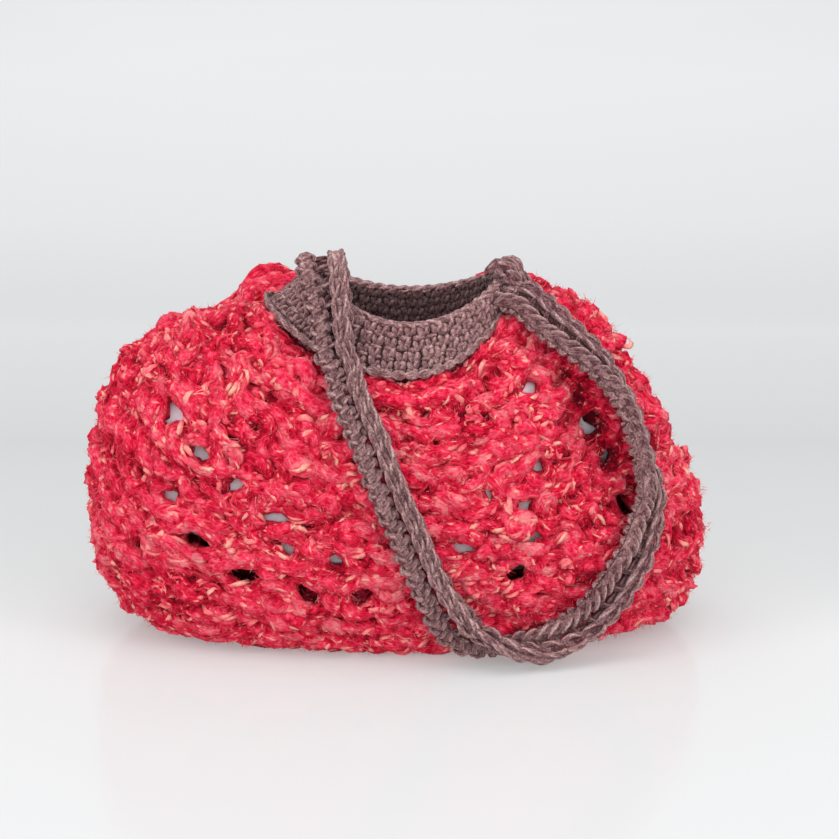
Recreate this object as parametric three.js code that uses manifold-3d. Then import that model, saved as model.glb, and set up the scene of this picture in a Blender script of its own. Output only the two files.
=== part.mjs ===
import * as THREE from "three";
import { mergeVertices } from "three/addons/utils/BufferGeometryUtils.js";
import Module from "manifold-3d";

const wasm = await Module();
wasm.setup();

// Driving sizes in millimetres, +Z up, the bag's front facing -Y
const bagWidth = 340;
const bagDepth = 165;
const shoulderHeight = 181;
const bodyWall = 9;
const bodyRelief = 1.4;
const mouthWidth = 106;
const mouthDepth = 83;
const collarHeight = 25;
const collarWall = 5;
const collarRelief = 0.8;
const collarRows = 4;
const liningWall = 1.5;
const liningSlack = 10;
const gapSize = 12;
const strapWidth = 21;
const strapThickness = 9;
const ladderPitch = 21;
const rungThickness = 3.4;
const pieceGap = 0.3;

// Mesh fineness
const bodyColumns = 42;
const collarColumns = 40;
const collarStepsPerRow = 2;
const collarInsideSteps = 3;
const ribSides = 6;
const ribSteps = 46;
const outsideStep = 0.5;
const insideStep = 1;
const slopeStep = 0.02;
const mergeDistance = 1e-4;

// Rings over which puffs, creases and row ridges fade out at the seam and before the flat base
const seamFadeRings = 0.8;
const flatRings = { swell: 2, ridge: 3 };
const baseFadeRings = { swell: 1.5, ridge: 2 };

// Mouth rings: reach as shares of the mouth's half sizes, lift as shares of the collar's height
const mouthRings = [
  { name: "rim", left: 1, right: 1, front: 1, back: 1, liftL: 0.72, liftR: 0.56, liftF: 1, liftB: 0.72 },
  { name: "seam", left: 1.43, right: 1.02, front: 1.16, back: 1.04, liftL: 0, liftR: 0, liftF: 0, liftB: 0 },
];
// Height of the seam at each side of the mouth, as shares of the shoulder height
const seamHeights = { left: 1.0, right: 0.995, front: 0.823, back: 0.895 };

// Body rings from shoulder to base: reach as shares of the bag's half sizes
const bodyRings = [
  { left: 0.518, right: 0.459, front: 0.703, back: 0.655, middle: 0.047, power: 2.05 },
  { left: 0.647, right: 0.559, front: 0.8, back: 0.776, middle: 0.041, power: 2.1 },
  { left: 0.782, right: 0.647, front: 0.885, back: 0.861, middle: 0.035, power: 2.2 },
  { left: 0.876, right: 0.724, front: 0.945, back: 0.909, middle: 0.029, power: 2.3 },
  { left: 0.935, right: 0.806, front: 0.982, back: 0.933, middle: 0.024, power: 2.4 },
  { left: 0.971, right: 0.888, front: 1.0, back: 0.945, middle: 0.018, power: 2.4 },
  { left: 0.991, right: 0.971, front: 1.0, back: 0.945, middle: 0.012, power: 2.4 },
  { left: 0.991, right: 1.006, front: 0.976, back: 0.933, middle: 0.012, power: 2.4 },
  { left: 0.965, right: 1.0, front: 0.933, back: 0.897, middle: 0.012, power: 2.4 },
  { left: 0.9, right: 0.953, front: 0.89, back: 0.824, middle: 0.012, power: 2.4 },
  { left: 0.788, right: 0.841, front: 0.81, back: 0.727, middle: 0.012, power: 2.4 },
  { left: 0.618, right: 0.659, front: 0.65, back: 0.558, middle: 0.012, power: 2.3 },
  { left: 0.306, right: 0.341, front: 0.303, back: 0.267, middle: 0.012, power: 2.2 },
];
// Height of each body ring at its four sides, as shares of the shoulder height
const bodyHeights = [
  { left: 0.994, right: 1.028, front: 0.762, back: 0.95 },
  { left: 0.961, right: 1.011, front: 0.68, back: 0.928 },
  { left: 0.906, right: 0.961, front: 0.586, back: 0.84 },
  { left: 0.823, right: 0.873, front: 0.486, back: 0.724 },
  { left: 0.707, right: 0.757, front: 0.398, back: 0.586 },
  { left: 0.564, right: 0.624, front: 0.315, back: 0.453 },
  { left: 0.425, right: 0.475, front: 0.243, back: 0.331 },
  { left: 0.298, right: 0.32, front: 0.171, back: 0.227 },
  { left: 0.177, right: 0.182, front: 0.108, back: 0.138 },
  { left: 0.077, right: 0.077, front: 0.05, back: 0.066 },
  { left: 0.019, right: 0.019, front: 0.013, back: 0.018 },
  { left: 0, right: 0, front: 0, back: 0 },
  { left: 0, right: 0, front: 0, back: 0 },
];

// Puffs and creases: place by turn in degrees and ring, lift as a share of the bag's depth
const swells = [
  { name: "left puff by the collar", turn: 132, ring: 2.7, lift: 0.14, turnSpread: 11, ringSpread: 1.4 },
  { name: "dip beside the left puff", turn: 152, ring: 2.3, lift: -0.055, turnSpread: 8, ringSpread: 1.3 },
  { name: "right puff by the collar", turn: 48, ring: 2.6, lift: 0.079, turnSpread: 24, ringSpread: 1.6 },
  { name: "crease under the strap", turn: -38, ring: 6, lift: -0.085, turnSpread: 8, ringSpread: 3 },
  { name: "belly beside the crease", turn: -62, ring: 7, lift: 0.018, turnSpread: 14, ringSpread: 3.5 },
  { name: "left lobe", turn: -150, ring: 6, lift: 0.018, turnSpread: 22, ringSpread: 3 },
  { name: "hollow left of the middle", turn: -112, ring: 7.5, lift: -0.018, turnSpread: 12, ringSpread: 4 },
];

// Gaps between the red stitches seen in front: across and high are shares of the gap size
const frontGaps = [
  { turn: -142, ring: 4.6, across: 1.3, high: 0.75 },
  { turn: -150, ring: 3.6, across: 0.6, high: 0.4 },
  { turn: -130, ring: 5.2, across: 1.1, high: 0.5 },
  { turn: -135, ring: 6.7, across: 1.0, high: 0.4 },
  { turn: -120, ring: 5.4, across: 0.75, high: 0.35 },
  { turn: -110, ring: 6.0, across: 1.0, high: 0.7 },
  { turn: -125, ring: 7.4, across: 1.2, high: 0.8 },
  { turn: -141, ring: 8.3, across: 0.5, high: 0.4 },
  { turn: -114, ring: 8.2, across: 1.2, high: 0.95 },
  { turn: -106, ring: 6.9, across: 0.4, high: 0.65 },
  { turn: -102, ring: 8.7, across: 0.8, high: 1.2 },
  { turn: -94, ring: 8.7, across: 1.1, high: 0.85 },
  { turn: -98, ring: 7.1, across: 0.55, high: 0.65 },
  { turn: -80, ring: 6.6, across: 1.0, high: 0.5 },
  { turn: -71, ring: 7.9, across: 1.1, high: 0.75 },
  { turn: -65, ring: 6.9, across: 0.5, high: 0.4 },
  { turn: -64, ring: 5.9, across: 0.65, high: 0.55 },
  { turn: -72, ring: 5.2, across: 0.65, high: 0.65 },
  { turn: -58, ring: 5.2, across: 0.75, high: 0.65 },
  { turn: -47, ring: 3.5, across: 0.9, high: 0.65 },
  { turn: -32, ring: 5.6, across: 0.65, high: 0.85 },
  { turn: -30, ring: 6.5, across: 0.5, high: 0.7 },
  { turn: -42, ring: 7.5, across: 0.5, high: 1.0 },
];
// Rows of like gaps round the hidden sides and back
const backGapRows = [
  { ring: 4.4, firstTurn: 28, lastTurn: 158, count: 5 },
  { ring: 6.0, firstTurn: 14, lastTurn: 172, count: 6 },
  { ring: 7.5, firstTurn: 26, lastTurn: 160, count: 5 },
  { ring: 8.8, firstTurn: 12, lastTurn: 170, count: 5 },
];
const backGap = { across: 0.9, high: 0.65 };
// How deep the gap cutters reach, as a share of the wall
const cutterDepth = 3;

// Strap route over the skin: off and rise are shares of the strap's thickness, faceUp tips its
// flat side upward, lean turns it about its own line in degrees, spread is how far apart the ribs lie
const strapRoute = [
  { turn: 197, ring: 0, off: -1.3, rise: 0.15, faceUp: 4, lean: 0, spread: 1.1 },
  { turn: 202, ring: 0, off: -0.95, rise: 1, faceUp: 4, lean: 0, spread: 1.25 },
  { turn: 208, ring: 0, off: -0.2, rise: 1.45, faceUp: 3, lean: 0, spread: 1.35 },
  { turn: 216, ring: 0, off: 0.6, rise: 1.15, faceUp: 1.5, lean: 0, spread: 1.4 },
  { turn: 226, ring: 0.15, off: 0.95, rise: 0.4, faceUp: 0.2, lean: 0, spread: 1.25 },
  { turn: 236, ring: 0.6, off: 0.85, rise: 0, faceUp: 0, lean: 0, spread: 1 },
  { turn: 251, ring: 2, off: 0.75, rise: 0, faceUp: 0, lean: 0, spread: 0.9 },
  { turn: 262, ring: 3.3, off: 0.68, rise: 0, faceUp: 0, lean: 0, spread: 0.9 },
  { turn: 268, ring: 4.6, off: 0.68, rise: 0, faceUp: 0, lean: 0, spread: 0.9 },
  { turn: 271, ring: 6, off: 0.68, rise: 0, faceUp: 0, lean: 0, spread: 0.9 },
  { turn: 274, ring: 7.8, off: 0.68, rise: 0, faceUp: 0, lean: 0, spread: 0.9 },
  { turn: 276, ring: 8.9, off: 0.75, rise: 0, faceUp: 0, lean: -6, spread: 1.1 },
  { turn: 279, ring: 9.9, off: 0.95, rise: 0, faceUp: 0, lean: -20, spread: 1.3 },
  { turn: 284, ring: 10.4, off: 1.1, rise: 0, faceUp: 0, lean: -50, spread: 1.3 },
  { turn: 290, ring: 10.5, off: 1.18, rise: 0, faceUp: 0, lean: -90, spread: 1 },
  { turn: 294, ring: 10.4, off: 1.12, rise: 0, faceUp: 0, lean: -125, spread: 0.9 },
  { turn: 299, ring: 10, off: 0.95, rise: 0, faceUp: 0, lean: -155, spread: 0.9 },
  { turn: 303, ring: 9.5, off: 0.85, rise: 0, faceUp: 0, lean: -172, spread: 1 },
  { turn: 310, ring: 8.7, off: 0.75, rise: 0, faceUp: 0, lean: -180, spread: 1 },
  { turn: 317, ring: 8.2, off: 0.85, rise: 0, faceUp: 0, lean: -186, spread: 1 },
  { turn: 325, ring: 7.6, off: 1.1, rise: 0, faceUp: 0, lean: -202, spread: 0.95 },
  { turn: 328, ring: 7, off: 1.2, rise: 0, faceUp: 0, lean: -215, spread: 0.9 },
  { turn: 330, ring: 6.3, off: 1.22, rise: 0, faceUp: 0, lean: -220, spread: 0.9 },
  { turn: 332, ring: 5.5, off: 1.15, rise: 0, faceUp: 0, lean: -218, spread: 0.9 },
  { turn: 332, ring: 4.7, off: 1.05, rise: 0, faceUp: 0, lean: -208, spread: 0.95 },
  { turn: 331, ring: 3.9, off: 0.9, rise: 0, faceUp: 0, lean: -196, spread: 1 },
  { turn: 331, ring: 3.1, off: 0.82, rise: 0, faceUp: 0, lean: -186, spread: 1 },
  { turn: 333, ring: 2.4, off: 0.8, rise: 0, faceUp: 0, lean: -180, spread: 1 },
  { turn: 340, ring: 1.6, off: 1, rise: 0, faceUp: 0.2, lean: -180, spread: 1 },
  { turn: 346, ring: 0.9, off: 1, rise: 0.05, faceUp: 0.4, lean: -180, spread: 1.05 },
  { turn: 350, ring: 0.3, off: 0.75, rise: 0.35, faceUp: 1.2, lean: -180, spread: 1.1 },
  { turn: 353, ring: 0, off: 0.1, rise: 0.62, faceUp: 3, lean: -180, spread: 1.1 },
  { turn: 355, ring: 0, off: -0.7, rise: 0.58, faceUp: 4, lean: -180, spread: 1.05 },
  { turn: 356, ring: 0, off: -1.2, rise: 0.2, faceUp: 4, lean: -180, spread: 1 },
];

// Materials
function matte(name, color, roughness) {
  return new THREE.MeshStandardMaterial({ name, color, roughness, metalness: 0 });
}

const redYarn = matte("red_yarn", 0xd33c50, 0.95);
const brownYarn = matte("brown_yarn", 0x7f5a5b, 0.9);
const greyCloth = matte("grey_cloth", 0xbaabb3, 0.85);

// The skin: one ring table in millimetres, read smoothly between its rows
const seamRing = mouthRings.findIndex((ring) => ring.name === "seam");
const middleX = bodyRings[0].middle * bagWidth / 2;

function mouthRow(ring) {
  return {
    left: middleX - ring.left * mouthWidth / 2,
    right: middleX + ring.right * mouthWidth / 2,
    front: -ring.front * mouthDepth / 2,
    back: ring.back * mouthDepth / 2,
    upL: seamHeights.left * shoulderHeight + ring.liftL * collarHeight,
    upR: seamHeights.right * shoulderHeight + ring.liftR * collarHeight,
    upF: seamHeights.front * shoulderHeight + ring.liftF * collarHeight,
    upB: seamHeights.back * shoulderHeight + ring.liftB * collarHeight,
    middle: middleX,
    power: 2,
  };
}

function bodyRow(ring, index) {
  const up = bodyHeights[index];
  return {
    left: -ring.left * bagWidth / 2,
    right: ring.right * bagWidth / 2,
    front: -ring.front * bagDepth / 2,
    back: ring.back * bagDepth / 2,
    upL: up.left * shoulderHeight,
    upR: up.right * shoulderHeight,
    upF: up.front * shoulderHeight,
    upB: up.back * shoulderHeight,
    middle: ring.middle * bagWidth / 2,
    power: ring.power,
  };
}

const skinRows = [...mouthRings.map(mouthRow), ...bodyRings.map(bodyRow)];
const lastRing = skinRows.length - 1;

// Catmull-Rom reading of a table of rows at a place between them
function readTable(table, place) {
  const at = THREE.MathUtils.clamp(place, 0, table.length - 1);
  const index = Math.min(Math.floor(at), table.length - 2);
  const t = at - index;
  const before = table[Math.max(index - 1, 0)];
  const start = table[index];
  const end = table[index + 1];
  const after = table[Math.min(index + 2, table.length - 1)];
  const row = {};
  for (const key of Object.keys(start)) {
    const slopeIn = index > 0 ? (end[key] - before[key]) / 2 : end[key] - start[key];
    const slopeOut = index < table.length - 2 ? (after[key] - start[key]) / 2 : end[key] - start[key];
    const rise = end[key] - start[key];
    const bend = 3 * rise - 2 * slopeIn - slopeOut;
    const twist = slopeIn + slopeOut - 2 * rise;
    row[key] = start[key] + t * (slopeIn + t * (bend + t * twist));
  }
  return row;
}

function signedPower(value, power) {
  return Math.sign(value) * Math.abs(value) ** power;
}

function basePoint(ring, turn) {
  const row = readTable(skinRows, ring);
  const cos = Math.cos(turn);
  const sin = Math.sin(turn);
  const reachX = cos < 0 ? row.middle - row.left : row.right - row.middle;
  const reachY = sin < 0 ? -row.front : row.back;
  const sideUp = cos < 0 ? row.upL : row.upR;
  const middleUp = sin < 0 ? row.upF : row.upB;
  return new THREE.Vector3(
    row.middle + reachX * signedPower(cos, 2 / row.power),
    reachY * signedPower(sin, 2 / row.power),
    Math.max(sideUp * cos * cos + middleUp * sin * sin, 0),
  );
}

function skinNormal(ring, turn) {
  const down = basePoint(Math.min(ring + slopeStep, lastRing), turn)
    .sub(basePoint(Math.max(ring - slopeStep, 0), turn));
  const around = basePoint(ring, turn + slopeStep).sub(basePoint(ring, turn - slopeStep));
  return down.cross(around).normalize();
}

// Puffs and creases fade out at the seam and before the flat base
function swellAt(ring, turn) {
  const baseFade = THREE.MathUtils.clamp((lastRing - flatRings.swell - ring) / baseFadeRings.swell, 0, 1);
  const seamFade = THREE.MathUtils.clamp((ring - seamRing) / seamFadeRings, 0, 1);
  let total = 0;
  for (const swell of swells) {
    const turned = THREE.MathUtils.radToDeg(turn) - swell.turn;
    const away = THREE.MathUtils.euclideanModulo(turned + 180, 360) - 180;
    const closeness = (away / swell.turnSpread) ** 2 + ((ring - swell.ring) / swell.ringSpread) ** 2;
    total += swell.lift * bagDepth * Math.exp(-closeness);
  }
  return total * baseFade * seamFade;
}

function skinPoint(ring, turn, out) {
  return basePoint(ring, turn).addScaledVector(skinNormal(ring, turn), swellAt(ring, turn) + out);
}

// Crochet rows stand out as ridges that fade before the flat base
function ridgeAt(ring) {
  const fade = THREE.MathUtils.clamp((lastRing - flatRings.ridge - ring) / baseFadeRings.ridge, 0, 1);
  return -bodyRelief * fade * (1 - Math.cos(2 * Math.PI * (ring - seamRing))) / 2;
}

// Mesh helpers: rings of points wrapped into one closed skin, a ring of one point being a pole
function ringOf(columns, pointAt) {
  return Array.from({ length: columns }, (_, i) => pointAt(2 * Math.PI * i / columns));
}

function wrapRings(rings) {
  const positions = [];
  const starts = [];
  for (const ring of rings) {
    starts.push(positions.length / 3);
    ring.forEach((point) => positions.push(point.x, point.y, point.z));
  }
  const triangles = [];
  const pointAt = (ring, i) => ring[i % ring.length];
  rings.forEach((ring, k) => {
    const next = (k + 1) % rings.length;
    const sides = Math.max(ring.length, rings[next].length);
    if (sides === 1) return;
    for (let i = 0; i < sides; i += 1) {
      const j = (i + 1) % sides;
      const upperI = starts[k] + i % ring.length;
      const upperJ = starts[k] + j % ring.length;
      const lowerI = starts[next] + i % rings[next].length;
      const lowerJ = starts[next] + j % rings[next].length;
      const falling = pointAt(ring, i).distanceTo(pointAt(rings[next], j));
      const rising = pointAt(ring, j).distanceTo(pointAt(rings[next], i));
      if (upperI === upperJ) {
        triangles.push(upperI, lowerI, lowerJ);
      } else if (lowerI === lowerJ) {
        triangles.push(upperI, lowerI, upperJ);
      } else if (falling < rising) {
        triangles.push(upperI, lowerI, lowerJ, upperI, lowerJ, upperJ);
      } else {
        triangles.push(upperI, lowerI, upperJ, lowerI, lowerJ, upperJ);
      }
    }
  });
  const geometry = new THREE.BufferGeometry();
  geometry.setAttribute("position", new THREE.Float32BufferAttribute(positions, 3));
  geometry.setIndex(triangles);
  return geometry;
}

function steps(first, last, step) {
  const count = Math.round((last - first) / step);
  return Array.from({ length: count + 1 }, (_, i) => first + (last - first) * i / count);
}

// Solid helpers
function toSolid(geometry) {
  const bare = geometry.clone();
  bare.deleteAttribute("normal");
  bare.deleteAttribute("uv");
  const merged = mergeVertices(bare, mergeDistance);
  return new wasm.Manifold(new wasm.Mesh({
    numProp: 3,
    vertProperties: merged.attributes.position.array,
    triVerts: Uint32Array.from(merged.index.array),
  }));
}

function toGeometry(solid) {
  const mesh = solid.getMesh();
  const geometry = new THREE.BufferGeometry();
  geometry.setAttribute("position", new THREE.BufferAttribute(mesh.vertProperties, 3));
  geometry.setIndex(new THREE.BufferAttribute(mesh.triVerts, 1));
  geometry.computeVertexNormals();
  return geometry;
}

function namedMesh(name, solid, material) {
  const mesh = new THREE.Mesh(toGeometry(solid), material);
  mesh.name = name;
  return mesh;
}

// The red crochet bag: a thick hollow wall with its gaps cut through
function gapCutter(ring, turnDegrees, across, high) {
  const turn = THREE.MathUtils.degToRad(turnDegrees);
  const out = skinNormal(ring, turn);
  const around = basePoint(ring, turn + slopeStep).sub(basePoint(ring, turn - slopeStep)).normalize();
  const down = new THREE.Vector3().crossVectors(around, out);
  const place = new THREE.Matrix4().makeBasis(
    around.multiplyScalar(across * gapSize),
    out.clone().multiplyScalar(cutterDepth * bodyWall),
    down.multiplyScalar(high * gapSize),
  );
  place.setPosition(skinPoint(ring, turn, -bodyWall / 2));
  return toSolid(new THREE.BoxGeometry(1, 1, 1).applyMatrix4(place));
}

function bodySolid() {
  const outside = steps(seamRing, lastRing, outsideStep).map((ring) =>
    ringOf(bodyColumns, (turn) => skinPoint(ring, turn, ridgeAt(ring))));
  const inside = steps(seamRing, lastRing, insideStep).map((ring) =>
    ringOf(bodyColumns, (turn) => skinPoint(ring, turn, -bodyWall)));
  const centre = new THREE.Vector3(skinRows[lastRing].middle, 0, 0);
  const innerCentre = centre.clone().setZ(bodyWall);
  let solid = toSolid(wrapRings([...outside, [centre], [innerCentre], ...inside.reverse()]));
  for (const gap of frontGaps) {
    solid = solid.subtract(gapCutter(gap.ring, gap.turn, gap.across, gap.high));
  }
  for (const row of backGapRows) {
    for (let i = 0; i < row.count; i += 1) {
      const turn = row.firstTurn + (row.lastTurn - row.firstTurn) * i / (row.count - 1);
      solid = solid.subtract(gapCutter(row.ring, turn, backGap.across, backGap.high));
    }
  }
  return solid;
}

// The same outer form filled in and grown by the clearance, to trim what lies on it
function bodyFilled(grow) {
  const outside = steps(seamRing, lastRing, outsideStep).map((ring) =>
    ringOf(bodyColumns, (turn) => skinPoint(ring, turn, ridgeAt(ring) + grow)));
  const topCentre = new THREE.Vector3(middleX, 0, seamHeights.front * shoulderHeight);
  const baseCentre = new THREE.Vector3(skinRows[lastRing].middle, 0, -grow);
  return toSolid(wrapRings([[topCentre], ...outside, [baseCentre]]));
}

// The brown collar: ribbed rounds that stand on the bag's top edge
function collarSolid(grow) {
  const edgeGap = pieceGap - grow;
  const ribAt = (ring) => -collarRelief * (1 - Math.cos(2 * Math.PI * collarRows * ring / seamRing)) / 2;
  const place = (ring, turn, out) => {
    const point = basePoint(ring, turn).addScaledVector(skinNormal(ring, turn), out);
    const down = basePoint(ring + slopeStep, turn).sub(basePoint(ring, turn)).normalize();
    const endShift = -grow * (1 - ring / seamRing) - edgeGap * (ring / seamRing);
    return point.addScaledVector(down, endShift);
  };
  const outside = steps(0, seamRing, seamRing / (collarRows * collarStepsPerRow)).map((ring) =>
    ringOf(collarColumns, (turn) => place(ring, turn, ribAt(ring) + grow)));
  const inside = steps(0, seamRing, seamRing / collarInsideSteps).map((ring) =>
    ringOf(collarColumns, (turn) => place(ring, turn, -collarWall - grow)));
  return toSolid(wrapRings([...outside, ...inside.reverse()]));
}

// The grey lining: a thin pouch hung from the seam, clear of the wall and of the base
function liningSolid() {
  const shareDown = (ring) => (ring - seamRing) / (lastRing - seamRing);
  const depthAt = (ring) => bodyWall + pieceGap + liningSlack * shareDown(ring) ** 3;
  const wallRings = (extra) => steps(seamRing, lastRing, insideStep).map((ring) =>
    ringOf(bodyColumns, (turn) => skinPoint(ring, turn, -depthAt(ring) - extra)));
  const centre = new THREE.Vector3(skinRows[lastRing].middle, 0, depthAt(lastRing));
  const innerCentre = centre.clone().setZ(centre.z + liningWall);
  return toSolid(wrapRings([...wallRings(0), [centre], [innerCentre], ...wallRings(liningWall).reverse()]));
}

// The strap: two round ribs side by side, joined by the rungs of an open ladder
const ribRadius = strapThickness / 2;
const ribSpacing = strapWidth - strapThickness;

function strapCentre(row) {
  const turn = THREE.MathUtils.degToRad(row.turn);
  const point = skinPoint(row.ring, turn, row.off * strapThickness);
  point.z += row.rise * strapThickness;
  return point;
}

function strapFrame(along) {
  const place = along * (strapRoute.length - 1);
  const row = readTable(strapRoute, place);
  const centre = strapCentre(row);
  const ahead = strapCentre(readTable(strapRoute, place + slopeStep));
  const behind = strapCentre(readTable(strapRoute, place - slopeStep));
  const forward = ahead.sub(behind).normalize();
  const face = skinNormal(Math.max(row.ring, 0), THREE.MathUtils.degToRad(row.turn));
  face.z += row.faceUp;
  const flat = new THREE.Vector3().crossVectors(forward, face).normalize();
  const out = new THREE.Vector3().crossVectors(flat, forward);
  const lean = THREE.MathUtils.degToRad(row.lean);
  const side = flat.multiplyScalar(Math.cos(lean)).addScaledVector(out, Math.sin(lean));
  return { centre, forward, side, spread: row.spread };
}

function ribPoint(along, sign) {
  const frame = strapFrame(along);
  const point = frame.centre.addScaledVector(frame.side, sign * frame.spread * ribSpacing / 2);
  point.z = Math.max(point.z, ribRadius);
  return point;
}

function ribGeometry(sign) {
  const points = steps(0, 1, 1 / ribSteps).map((along) => ribPoint(along, sign));
  const outline = new THREE.Shape(ringOf(ribSides, (turn) =>
    new THREE.Vector2(ribRadius * Math.cos(turn), ribRadius * Math.sin(turn))));
  return new THREE.ExtrudeGeometry(outline, {
    steps: ribSteps,
    bevelEnabled: false,
    extrudePath: new THREE.CatmullRomCurve3(points, false, "centripetal"),
  });
}

function rungGeometry(along) {
  const from = ribPoint(along, -1);
  const to = ribPoint(along, 1);
  const across = to.clone().sub(from);
  const { forward } = strapFrame(along);
  const through = new THREE.Vector3().crossVectors(across, forward).normalize();
  const lengthways = new THREE.Vector3().crossVectors(through, across).normalize();
  const place = new THREE.Matrix4().makeBasis(
    across,
    lengthways.multiplyScalar(rungThickness),
    through.multiplyScalar(rungThickness),
  );
  place.setPosition(from.add(to).multiplyScalar(0.5));
  return new THREE.BoxGeometry(1, 1, 1).applyMatrix4(place);
}

function strapSolid() {
  let solid = toSolid(ribGeometry(1)).add(toSolid(ribGeometry(-1)));
  const centres = steps(0, 1, 1 / ribSteps).map((along) => strapFrame(along).centre);
  const length = new THREE.CatmullRomCurve3(centres).getLength();
  const rungs = Math.round(length / ladderPitch);
  for (let i = 1; i < rungs; i += 1) {
    solid = solid.add(toSolid(rungGeometry(i / rungs)));
  }
  const trimmed = solid.subtract(collarSolid(pieceGap)).subtract(bodyFilled(pieceGap));
  const pieces = trimmed.decompose();
  return pieces.reduce((best, piece) => (piece.volume() > best.volume() ? piece : best));
}

// The bag, with the middle of its footprint at the origin
const bag = new THREE.Group();
bag.add(
  namedMesh("body", bodySolid(), redYarn),
  namedMesh("collar", collarSolid(0), brownYarn),
  namedMesh("lining", liningSolid(), greyCloth),
  namedMesh("shoulder_strap", strapSolid(), brownYarn),
);
const extent = new THREE.Box3().setFromObject(bag);
const middle = extent.getCenter(new THREE.Vector3());
bag.position.set(-middle.x, -middle.y, -extent.min.z);

export default bag;
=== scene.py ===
import bpy
import bmesh
import math
import numpy as np
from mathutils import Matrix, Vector


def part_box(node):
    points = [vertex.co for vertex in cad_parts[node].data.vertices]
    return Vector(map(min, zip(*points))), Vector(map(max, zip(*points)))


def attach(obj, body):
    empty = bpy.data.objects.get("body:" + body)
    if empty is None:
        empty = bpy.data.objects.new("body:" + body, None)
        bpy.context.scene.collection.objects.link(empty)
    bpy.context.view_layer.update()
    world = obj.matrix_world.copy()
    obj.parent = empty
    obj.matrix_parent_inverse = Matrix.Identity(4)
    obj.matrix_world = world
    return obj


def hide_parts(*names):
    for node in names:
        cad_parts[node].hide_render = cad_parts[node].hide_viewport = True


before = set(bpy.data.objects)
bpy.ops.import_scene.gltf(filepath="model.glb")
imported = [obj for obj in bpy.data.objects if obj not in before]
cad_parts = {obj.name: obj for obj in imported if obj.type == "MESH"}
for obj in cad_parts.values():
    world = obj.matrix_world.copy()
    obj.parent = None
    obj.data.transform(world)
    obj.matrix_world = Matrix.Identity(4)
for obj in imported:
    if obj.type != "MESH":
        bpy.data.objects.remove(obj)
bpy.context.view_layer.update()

# The bag's skin, repeated from the part's ring table
skinSizes = {
    "width": 0.340,
    "depth": 0.165,
    "shoulder": 0.181,
    "mouthWidth": 0.106,
    "mouthDepth": 0.083,
    "collarHeight": 0.025,
}
# left, right, front, back reach as shares of half the mouth, then the rise at each side as shares of the
# collar's height
mouthRings = [
    (1.0, 1.0, 1.0, 1.0, 0.72, 0.56, 1.0, 0.72),
    (1.43, 1.02, 1.16, 1.04, 0.0, 0.0, 0.0, 0.0),
]
seamHeights = (1.0, 0.995, 0.823, 0.895)
# left, right, front, back reach as shares of half the width and depth, then the height at each side as
# shares of the shoulder, the middle's place and the roundness
bodyRings = [
    (0.518, 0.459, 0.703, 0.655, 0.994, 1.028, 0.762, 0.950, 0.047, 2.05),
    (0.647, 0.559, 0.800, 0.776, 0.961, 1.011, 0.680, 0.928, 0.041, 2.1),
    (0.782, 0.647, 0.885, 0.861, 0.906, 0.961, 0.586, 0.840, 0.035, 2.2),
    (0.876, 0.724, 0.945, 0.909, 0.823, 0.873, 0.486, 0.724, 0.029, 2.3),
    (0.935, 0.806, 0.982, 0.933, 0.707, 0.757, 0.398, 0.586, 0.024, 2.4),
    (0.971, 0.888, 1.000, 0.945, 0.564, 0.624, 0.315, 0.453, 0.018, 2.4),
    (0.991, 0.971, 1.000, 0.945, 0.425, 0.475, 0.243, 0.331, 0.012, 2.4),
    (0.991, 1.006, 0.976, 0.933, 0.298, 0.320, 0.171, 0.227, 0.012, 2.4),
    (0.965, 1.000, 0.933, 0.897, 0.177, 0.182, 0.108, 0.138, 0.012, 2.4),
    (0.900, 0.953, 0.890, 0.824, 0.077, 0.077, 0.050, 0.066, 0.012, 2.4),
    (0.788, 0.841, 0.810, 0.727, 0.019, 0.019, 0.013, 0.018, 0.012, 2.4),
    (0.618, 0.659, 0.650, 0.558, 0.0, 0.0, 0.0, 0.0, 0.012, 2.3),
    (0.306, 0.341, 0.303, 0.267, 0.0, 0.0, 0.0, 0.0, 0.012, 2.2),
]
# Puffs and creases: turn in degrees, ring, lift as a share of the depth, spreads
swells = [
    (132, 2.7, 0.140, 11, 1.4), (152, 2.3, -0.055, 8, 1.3),
    (48, 2.6, 0.079, 24, 1.6),
    (-38, 6.0, -0.085, 8, 3.0),
    (-62, 7.0, 0.018, 14, 3.5),
    (-150, 6.0, 0.018, 22, 3.0),
    (-112, 7.5, -0.018, 12, 4.0),
]
# Gaps between the red stitches: turn, ring, width and height in millimetres
frontGaps = [
    (-142, 4.6, 16, 9), (-150, 3.6, 7, 5), (-130, 5.2, 13, 6), (-135, 6.7, 12, 5), (-120, 5.4, 9, 4),
    (-110, 6.0, 12, 8), (-125, 7.4, 14, 10), (-141, 8.3, 6, 5), (-114, 8.2, 14, 11), (-106, 6.9, 5, 8),
    (-102, 8.7, 10, 14), (-94, 8.7, 13, 10), (-98, 7.1, 7, 8), (-80, 6.6, 12, 6), (-71, 7.9, 13, 9),
    (-65, 6.9, 6, 5), (-64, 5.9, 8, 7), (-72, 5.2, 8, 8), (-58, 5.2, 9, 8), (-47, 3.5, 11, 8),
    (-35, 5.5, 12, 9), (-34, 6.4, 10, 8), (-38, 7.5, 7, 16),
]
# Rows of like gaps round the sides and back: ring, first turn, last turn, count
backGapRows = [(4.4, 28, 158, 5), (6.0, 14, 172, 6), (7.5, 26, 160, 5), (8.8, 12, 170, 5)]
gapWork = {
    "backWide": 11,         # in millimetres, as the rows above
    "backHigh": 8,
    "sunk": -0.004,         # where a gap's middle lies in the wall
    "tilt": 0.5,
    "reach": 0.02,          # how deep a gap works on what lies before and behind it
    "yarnClear": 0.0044,
    "backingClear": 0.0015,
    "seed": 17,
}


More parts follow.
